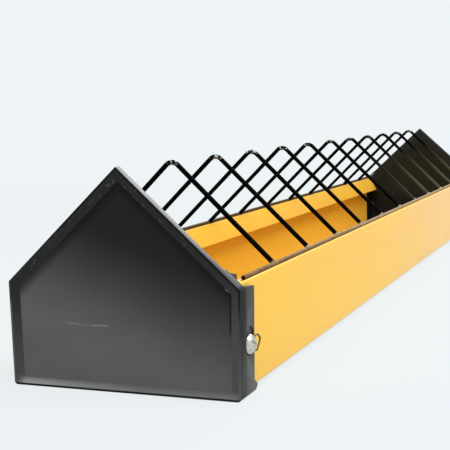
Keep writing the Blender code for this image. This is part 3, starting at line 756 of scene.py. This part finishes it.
def belongs(piece, body, slot, *nodes):
    """The piece moves with a body and stands for some solids, which are hidden. The slot is not used."""
    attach(piece, body)
    if nodes:
        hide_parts(*nodes)
    return piece


for end in (-1, 1):
    bpy.ops.object.select_all(action="DESELECT")
    bpy.ops.mesh.primitive_cylinder_add(vertices=32, radius=HOLE, depth=0.2, rotation=(0.0, QUARTER, 0.0),
                                        location=(0.0, end * BOLT_Y, BOLT_Z))
    cut_away(trough, bpy.context.object)
settle(trough, 35)
trough.data.materials.clear()
trough.data.materials.append(yellow_pvc)
belongs(trough, "base", "trough_plastic", "trough")
print("trough with holes:", len(trough.data.polygons), "faces")

# %% [markdown]
# ## The end caps
#
# A cap is one moulding: a house shaped plate with a sunken panel, skirts outside the trough, a collar
# inside it that follows the trough's section, pads under the roof and sockets for the hinge rod. The
# measured solid already has all of that, so a copy of it is the start. Its loose triangles are welded,
# its flat faces joined into one, and then its edges are rounded, as no moulding has a knife edge. Those
# small rounds are what draws the thin pale lines along the cap's corners. They may not reach past the
# flat front.

# %% Copy, weld and round the cap
EDGE_ROUND = 0.45 * MM


def copy_of(piece, name):
    """A copy with a mesh of its own."""
    twin = piece.copy()
    twin.data = piece.data.copy()
    twin.name = name
    twin.data.name = name
    bpy.context.scene.collection.objects.link(twin)
    return twin


def round_edges(piece, width, angle):
    """Round the edges that are sharper than an angle."""
    take(piece)
    step = piece.modifiers.new("rounding", "BEVEL")
    step.width = width
    step.segments = 2
    step.limit_method = "ANGLE"
    step.angle_limit = math.radians(angle)
    bpy.ops.object.modifier_apply(modifier=step.name)


front_cap = copy_of(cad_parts["end_cap_front"], "end_cap_front_moulding")
front_cap.parent = None
take(front_cap)
bpy.ops.mesh.customdata_custom_splitnormals_clear()
bpy.ops.object.mode_set(mode="EDIT")
weld(2 * WELD_GAP)
bpy.ops.mesh.dissolve_limited(angle_limit=math.radians(0.8))
face_outward()
bpy.ops.object.mode_set(mode="OBJECT")
round_edges(front_cap, EDGE_ROUND, 32)
for point in front_cap.data.vertices:
    point.co.y = max(point.co.y, FRONT)
settle(front_cap)
print("cap:", len(front_cap.data.polygons), "faces")

# %% [markdown]
# The sunken panel gets the etched finish with painted light, the sloping frame round it the thinner
# painted light, the faces that look into the trough the plain etched one with painted shade low down,
# and everything else the smooth one. The faces are told apart by their place and by how they face.

# %% Cap finishes
PLATE_FACE = FRONT + 3.0 * MM
PLATE_BACK = FRONT + 7.0 * MM
COLLAR_FROM = FRONT + 4.0 * MM
COLLAR_HALF = 75.9 * MM
COLLAR_TOP = 68.0 * MM


def finish_of(face):
    """The finish that a face of the front cap takes."""
    forward = -face.normal.y
    x, y, z = face.center
    if y < PLATE_FACE and forward > 0.98:
        return panel_pp
    if y < PLATE_FACE and forward > 0.8:
        return frame_pp
    if y < PLATE_BACK and forward < -0.9:
        return inner_pp
    if y > COLLAR_FROM and abs(x) < COLLAR_HALF and z < COLLAR_TOP:
        return inner_pp
    return smooth_pp


cap_finishes = [smooth_pp, panel_pp, frame_pp, inner_pp]
front_cap.data.materials.clear()
for finish in cap_finishes:
    front_cap.data.materials.append(finish)
for face in front_cap.data.polygons:
    face.material_index = cap_finishes.index(finish_of(face))
kinds = [face.material_index for face in front_cap.data.polygons]
print("faces with each finish:", [kinds.count(index) for index in range(len(cap_finishes))])

# %% [markdown]
# The rear cap is the same moulding turned half round, as the real ones come out of one mould. The
# strokes on the front cap don't show on it, because their masks reach only as deep as the front cap.

# %% The second cap
rear_cap = copy_of(front_cap, "end_cap_rear_moulding")
take(rear_cap)
bpy.ops.transform.rotate(value=math.pi, orient_axis="Z", center_override=(0.0, 0.0, 0.0))
settle(rear_cap)
belongs(front_cap, "base", "cap_plastic", "end_cap_front")
belongs(rear_cap, "base", "cap_plastic", "end_cap_rear")
print("caps:", [piece.name for piece in (front_cap, rear_cap)])

# %% [markdown]
# ## The bent wires
#
# Each wire of the grille is one straight length of round wire, bent once over a former. It is made the
# same way here: a circle is pulled up the right leg, swung round the bend and pulled down the
# left leg. That keeps the wire round through the bend, which a squashed tube would not. One wire
# is modelled and ten more are copied along the rods.

# %% Measure the bend
WIRE = 1.8 * MM
BEND = 6.2 * MM
RISE = 72.7 * MM
slope = math.atan2(RISE, ROD_X)
foot = Vector((ROD_X - GROOVE * math.cos(slope), ROD_Z + GROOVE * math.sin(slope)))
bend_at = Vector((0.0, ROD_Z + RISE - BEND / math.cos(slope)))
bend_start = bend_at + Vector((math.sin(slope), math.cos(slope))) * BEND
leg = (bend_start - foot).length
wire_names = [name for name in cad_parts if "cross_wire" in name]
wire_names.sort(key=lambda name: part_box(name)[0].y)
wire_places = [(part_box(name)[0].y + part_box(name)[1].y) / 2 for name in wire_names]
first_y = wire_places[0]
along_leg = (0.0, slope - QUARTER, 0.0)
print("each leg slopes by", round(math.degrees(slope), 1), "degrees and is", round(leg / MM, 1), "mm long")

# %% [markdown]
# The circle lies square to the right leg at its foot. It stays in edit mode while it is pulled, swung
# and pulled again, so that the whole wire is one skin.

# %% Bend one wire
def round_face(name, sides, radius, place, turn):
    """Start a piece as a round face, in edit mode, ready to be pulled."""
    bpy.ops.object.select_all(action="DESELECT")
    bpy.ops.mesh.primitive_circle_add(vertices=sides, radius=radius, fill_type="NGON", location=place,
                                      rotation=turn)
    piece = rename(name)
    bpy.ops.object.transform_apply(location=True, rotation=True, scale=True)
    bpy.ops.object.mode_set(mode="EDIT")
    bpy.ops.mesh.select_all(action="SELECT")
    return piece


wire = round_face("bent_wire_01", 18, WIRE, (foot.x, first_y, foot.y), along_leg)
pull(-leg * math.cos(slope), 0.0, leg * math.sin(slope))
bpy.ops.mesh.spin(steps=16, angle=2 * slope, center=(0.0, first_y, bend_at.y), axis=(0.0, 1.0, 0.0),
                  use_auto_merge=False)
pull(-leg * math.cos(slope), 0.0, -leg * math.sin(slope))
weld()
face_outward()
bpy.ops.object.mode_set(mode="OBJECT")
settle(wire)
wire.data.materials.append(coated_wire)
wire_top = max(point.co.z for point in wire.data.vertices)
print("wire:", len(wire.data.polygons), "faces, top at", round(wire_top / MM, 1), "mm")

# %% [markdown]
# The wires' places come from the solids. Each copy gets a mesh of its own, so that a change to one wire
# never changes the others.

# %% Copy it along the rods
def copy_along(piece, name, step, angle):
    """A copy with a mesh of its own, moved along the tray by a step."""
    twin = copy_of(piece, name)
    take(twin)
    bpy.ops.transform.translate(value=(0.0, step, 0.0))
    return settle(twin, angle)


wires = [wire]
for index, y in enumerate(wire_places[1:], start=2):
    wires.append(copy_along(wire, f"bent_wire_{index:02d}", y - first_y, 40))
for piece, name in zip(wires, wire_names):
    belongs(piece, "grille", "wire_coating", name)
print("wires:", len(wires))

# %% [markdown]
# ## The two long rods
#
# The rods are cropped from straight bar and the crop is dressed to a small chamfer. A circle is pulled
# to the rod's length and both end faces are picked by their place and bevelled. The lacquer stops there,
# so the ends have rusted.

# %% Rods
ROD = 1.6 * MM
CROP_CHAMFER = 0.4 * MM
AT_THE_PLACE = 0.01 * MM


def pick(kind, test):
    """In edit mode, select only the points, edges or faces whose middle passes the test."""
    piece = bpy.context.object
    bpy.ops.mesh.select_mode(type=kind)
    bpy.ops.mesh.select_all(action="DESELECT")
    bpy.ops.object.mode_set(mode="OBJECT")
    mesh = piece.data
    chosen = 0
    for item in {"VERT": mesh.vertices, "EDGE": mesh.edges, "FACE": mesh.polygons}[kind]:
        if kind == "VERT":
            middle = item.co
        else:
            corners = [mesh.vertices[index].co for index in item.vertices]
            middle = sum(corners, Vector()) / len(corners)
        item.select = bool(test(item, middle))
        chosen += item.select
    bpy.ops.object.mode_set(mode="EDIT")
    return chosen


def long_rod(name, node, finish):
    """A straight rod along Y, as long as its solid, with dressed ends."""
    low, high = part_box(node)
    middle = (low + high) / 2
    piece = round_face(name, 24, ROD, (middle.x, low.y, middle.z), (QUARTER, 0.0, 0.0))
    pull(y=high.y - low.y)
    face_outward()
    pick("FACE", lambda face, at: min(abs(at.y - low.y), abs(at.y - high.y)) < AT_THE_PLACE)
    bpy.ops.mesh.bevel(offset=CROP_CHAMFER, segments=2, affect="EDGES")
    bpy.ops.object.mode_set(mode="OBJECT")
    settle(piece)
    piece.data.materials.append(finish)
    piece.data.materials.append(rusty_steel)
    for face in piece.data.polygons:
        face.material_index = int(abs(face.normal.y) > 0.5)
    return belongs(piece, "grille", "wire_coating", node)


hinge_rod = long_rod("hinge_rod_bar", "hinge_rod", shaded_rod)
rest_rod = long_rod("rest_rod_bar", "rest_rod", brown_rod)
print("rods:", [round(rod.dimensions.y / MM, 1) for rod in (hinge_rod, rest_rod)], "mm long")

# %% [markdown]
# ## Weld beads
#
# Each leg is resistance welded to its rod, which squeezes out a small bead round the foot. A sphere is
# flattened along the leg and sunk into the rod, and its points are pushed about a little and smoothed,
# so that it looks squeezed, not turned. It is made once, at the first right foot.

# %% One bead
BEAD = 2.15 * MM
BEAD_OUT = 1.75 * MM
BEAD_SHAPE = (0.98, 1.25, 0.62)
UNEVEN = 0.14 * MM
bead_at = ROD_AT + Vector((-math.cos(slope), math.sin(slope))) * BEAD_OUT
bpy.ops.object.select_all(action="DESELECT")
bpy.ops.mesh.primitive_uv_sphere_add(segments=14, ring_count=9, radius=BEAD, rotation=along_leg,
                                     location=(bead_at.x, first_y, bead_at.y))
bead = rename("weld_bead_right_01")
bead.scale = BEAD_SHAPE
bpy.ops.object.transform_apply(location=True, rotation=True, scale=True)
bpy.ops.object.mode_set(mode="EDIT")
bpy.ops.mesh.select_all(action="SELECT")
bpy.ops.transform.vertex_random(offset=UNEVEN, uniform=0.6, normal=0.6, seed=4)
bpy.ops.mesh.vertices_smooth(factor=0.3, repeat=1)
bpy.ops.object.mode_set(mode="OBJECT")
settle(bead, 60)
bead.data.materials.append(weld_steel)
print("bead:", len(bead.data.polygons), "faces")

# %% [markdown]
# The bead is copied to a left foot by a mirror, and both are copied along the rods. The left beads are
# still coated like the wires. The right ones have been rubbed bare, but for the first, which still has
# the rod's lacquer.

# %% All the beads
mirrored = copy_of(bead, "weld_bead_left_01")
mirrored.scale = (-1.0, 1.0, 1.0)
settle(mirrored, 60)
mirrored.data.materials[0] = coated_wire
bpy.ops.object.mode_set(mode="EDIT")
face_outward()
bpy.ops.object.mode_set(mode="OBJECT")
beads = [bead, mirrored]
for index, y in enumerate(wire_places[1:], start=2):
    for source, side in ((bead, "right"), (mirrored, "left")):
        beads.append(copy_along(source, f"weld_bead_{side}_{index:02d}", y - first_y, 60))
bead.data.materials[0] = brown_rod
for piece in beads:
    belongs(piece, "grille", "wire_coating")
print("beads:", len(beads))

# %% [markdown]
# ## Bolts
#
# A mushroom head bolt holds each corner. Its head is turned, so it starts as a round disc whose edge
# is pulled out in rings that follow the dome, a part of a ball. The rings are drawn in round the bolt's
# axis as they go.

# %% Turn the head
HEAD = 6.6 * MM
HEAD_EDGE = 0.9 * MM
HEAD_RISE = 5.2 * MM
SHANK = 2.4 * MM
SHANK_CHAMFER = 0.5 * MM
RINGS = 10
seat_low, seat_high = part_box("bolt_front_right")
seat = seat_high.x - HEAD_RISE
dome = HEAD_RISE - HEAD_EDGE
ball = (HEAD ** 2 + dome ** 2) / (2 * dome)
bolt_at = Vector((0.0, -BOLT_Y, BOLT_Z))


def draw_in(share):
    """Shrink what is selected round the bolt's axis."""
    bpy.ops.transform.resize(value=(1.0, share, share), center_override=bolt_at)


bolt = round_face("mushroom_bolt_pattern", 48, HEAD, (seat, -BOLT_Y, BOLT_Z), (0.0, QUARTER, 0.0))
pull(HEAD_EDGE)
reach_x = HEAD_EDGE
radius = HEAD
for ring in range(1, RINGS):
    turn = math.asin(HEAD / ball) * (1.0 - ring / RINGS)
    next_radius = ball * math.sin(turn)
    next_x = HEAD_RISE - ball * (1.0 - math.cos(turn))
    pull(next_x - reach_x)
    draw_in(next_radius / radius)
    reach_x = next_x
    radius = next_radius
pull(HEAD_RISE - reach_x)
draw_in(0.1)
print("head:", len(bolt.data.polygons), "faces")

# %% [markdown]
# The shank grows out of the middle of the head's flat side. Its end has a small chamfer, so that the
# nut starts easily. The thread is left out, because the wall, the washer and the nut hide nearly all
# of it.

# %% Turn the shank
face_outward()
pick("FACE", lambda face, at: face.normal.x < -0.9)
bpy.ops.mesh.inset(thickness=HEAD - SHANK)
pull(seat_low.x - seat + SHANK_CHAMFER)
pull(-SHANK_CHAMFER)
draw_in(0.8)
bpy.ops.object.mode_set(mode="OBJECT")
print("bolt:", len(bolt.data.polygons), "faces, size", [round(value / MM, 1) for value in bolt.dimensions])

# %% [markdown]
# The screwdriver slot is a straight saw cut, and the edges that it leaves are broken with a small bevel.
# The zinc is bright on the head and painted dark further in, a painted shade.

# %% Saw the slot and break its edges
SLOT_DEPTH = 1.5 * MM
SAW = Vector((4.0, 20.0, 1.5)) * MM
BROKEN_EDGE = 0.18 * MM
SHADED_BELOW = seat - 2.0 * MM
bpy.ops.object.select_all(action="DESELECT")
bpy.ops.mesh.primitive_cube_add(size=1.0, location=(seat_high.x - SLOT_DEPTH + SAW.x / 2, -BOLT_Y, BOLT_Z))
saw = bpy.context.object
saw.scale = SAW
cut_away(bolt, saw)
round_edges(bolt, BROKEN_EDGE, 38)
settle(bolt, 35)
bolt.data.materials.append(zinc)
bolt.data.materials.append(shaded_zinc)
# Faces further in take the zinc painted dark, a painted shade.
for face in bolt.data.polygons:
    face.material_index = int(face.center.x < SHADED_BELOW)
print("slotted bolt:", len(bolt.data.polygons), "faces")

# %% [markdown]
# The four bolts differ only in how far each slot happened to turn when it was tightened. The pattern is
# taken away once it has been copied to the corners.

# %% Four bolts, each slot where it stopped
corners = [("front_right", -1, 0, -35.0), ("front_left", -1, 180, 20.0),
           ("rear_right", 1, 0, 65.0), ("rear_left", 1, 180, -10.0)]
bolts = []
for corner, end, turn, slot_turn in corners:
    twin = copy_of(bolt, "mushroom_bolt_" + corner)
    face_side = Matrix.Rotation(math.radians(turn), 4, "Z")
    turn_slot = Matrix.Rotation(math.radians(slot_turn), 4, "X")
    to_corner = Matrix.Translation((0.0, end * BOLT_Y, BOLT_Z))
    twin.matrix_world = to_corner @ face_side @ turn_slot @ Matrix.Translation(-bolt_at)
    settle(twin, 35)
    belongs(twin, "base", "zinc", "bolt_" + corner)
    bolts.append(twin)
bpy.data.objects.remove(bolt)
print("bolts:", [piece.name for piece in bolts])

# %% [markdown]
# ## Bolt clips
#
# Beside the bolt the photograph shows a thin brown outline that stands out past the skirt's edge. It is
# read as a small clip of bent wire, caught under the bolt's head so that the bolt can't turn. One
# point is pulled from corner to corner, the corners are rounded, and the line becomes a curve with
# a round section. Tracing the section round each corner would give the same wire with more steps.

# %% Bend one clip
CLIP_WIRE = 0.6 * MM
CLIP_X = 83.3 * MM
CLIP_ROUND = 1.7 * MM
clip_corners = [(3.4, 3.4), (10.9, 4.6), (16.0, 0.6), (9.6, -5.9), (3.2, -4.6)]
clip_points = [Vector((CLIP_X, y * MM - BOLT_Y, z * MM + BOLT_Z)) for y, z in clip_corners]
clip = one_point("bolt_clip_front_right", clip_points[0])
for point, next_point in zip(clip_points, clip_points[1:]):
    pull(*(next_point - point))
ends = [clip_points[0].y, clip_points[-1].y]
bends = pick("VERT", lambda point, at: min(abs(at.y - end) for end in ends) > AT_THE_PLACE)
bpy.ops.mesh.bevel(offset=CLIP_ROUND, segments=6, affect="VERTICES")
bpy.ops.object.mode_set(mode="OBJECT")
bpy.ops.object.convert(target="CURVE")
clip.data.bevel_depth = CLIP_WIRE
clip.data.bevel_resolution = 2
clip.data.use_fill_caps = True
bpy.ops.object.convert(target="MESH")
settle(clip)
clip.data.materials.clear()
clip.data.materials.append(clip_brass)
print("clip:", bends, "bends,", len(clip.data.polygons), "faces")

# %% [markdown]
# The other three clips are mirrored, so that each nose points to the middle of the tray. A mirror turns
# the faces inside out, so their normals are turned outward again.

# %% One clip for each bolt
flips = [("front_left", (-1.0, 1.0, 1.0)), ("rear_right", (1.0, -1.0, 1.0)), ("rear_left", (-1.0, -1.0, 1.0))]
clips = [clip]
for corner, flip in flips:
    twin = copy_of(clip, "bolt_clip_" + corner)
    twin.scale = flip
    clips.append(settle(twin))
for piece in clips:
    take(piece)
    bpy.ops.object.mode_set(mode="EDIT")
    face_outward()
    bpy.ops.object.mode_set(mode="OBJECT")
    belongs(piece, "base", "wire_coating")
print("clips:", [piece.name for piece in clips])

# %% [markdown]
# ## Nuts and washers
#
# The nuts and washers sit inside the collars, small and half hidden, and their solids already have
# their chamfers. They stay as they are and only take a finish: the zinc painted dark, a painted shade.

# %% Nuts and washers
small = [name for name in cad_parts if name.startswith(("nut_", "washer_"))]
for name in small:
    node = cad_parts[name]
    for index in range(max(1, len(node.data.materials))):
        if index < len(node.material_slots):
            node.material_slots[index].material = shaded_zinc
        else:
            node.data.materials.append(shaded_zinc)
print("kept solids:", len(small))

# %% [markdown]
# ## Last look
#
# The picture is shown as it is computed, with the Standard view.

# %% View
bpy.context.scene.view_settings.view_transform = "Standard"
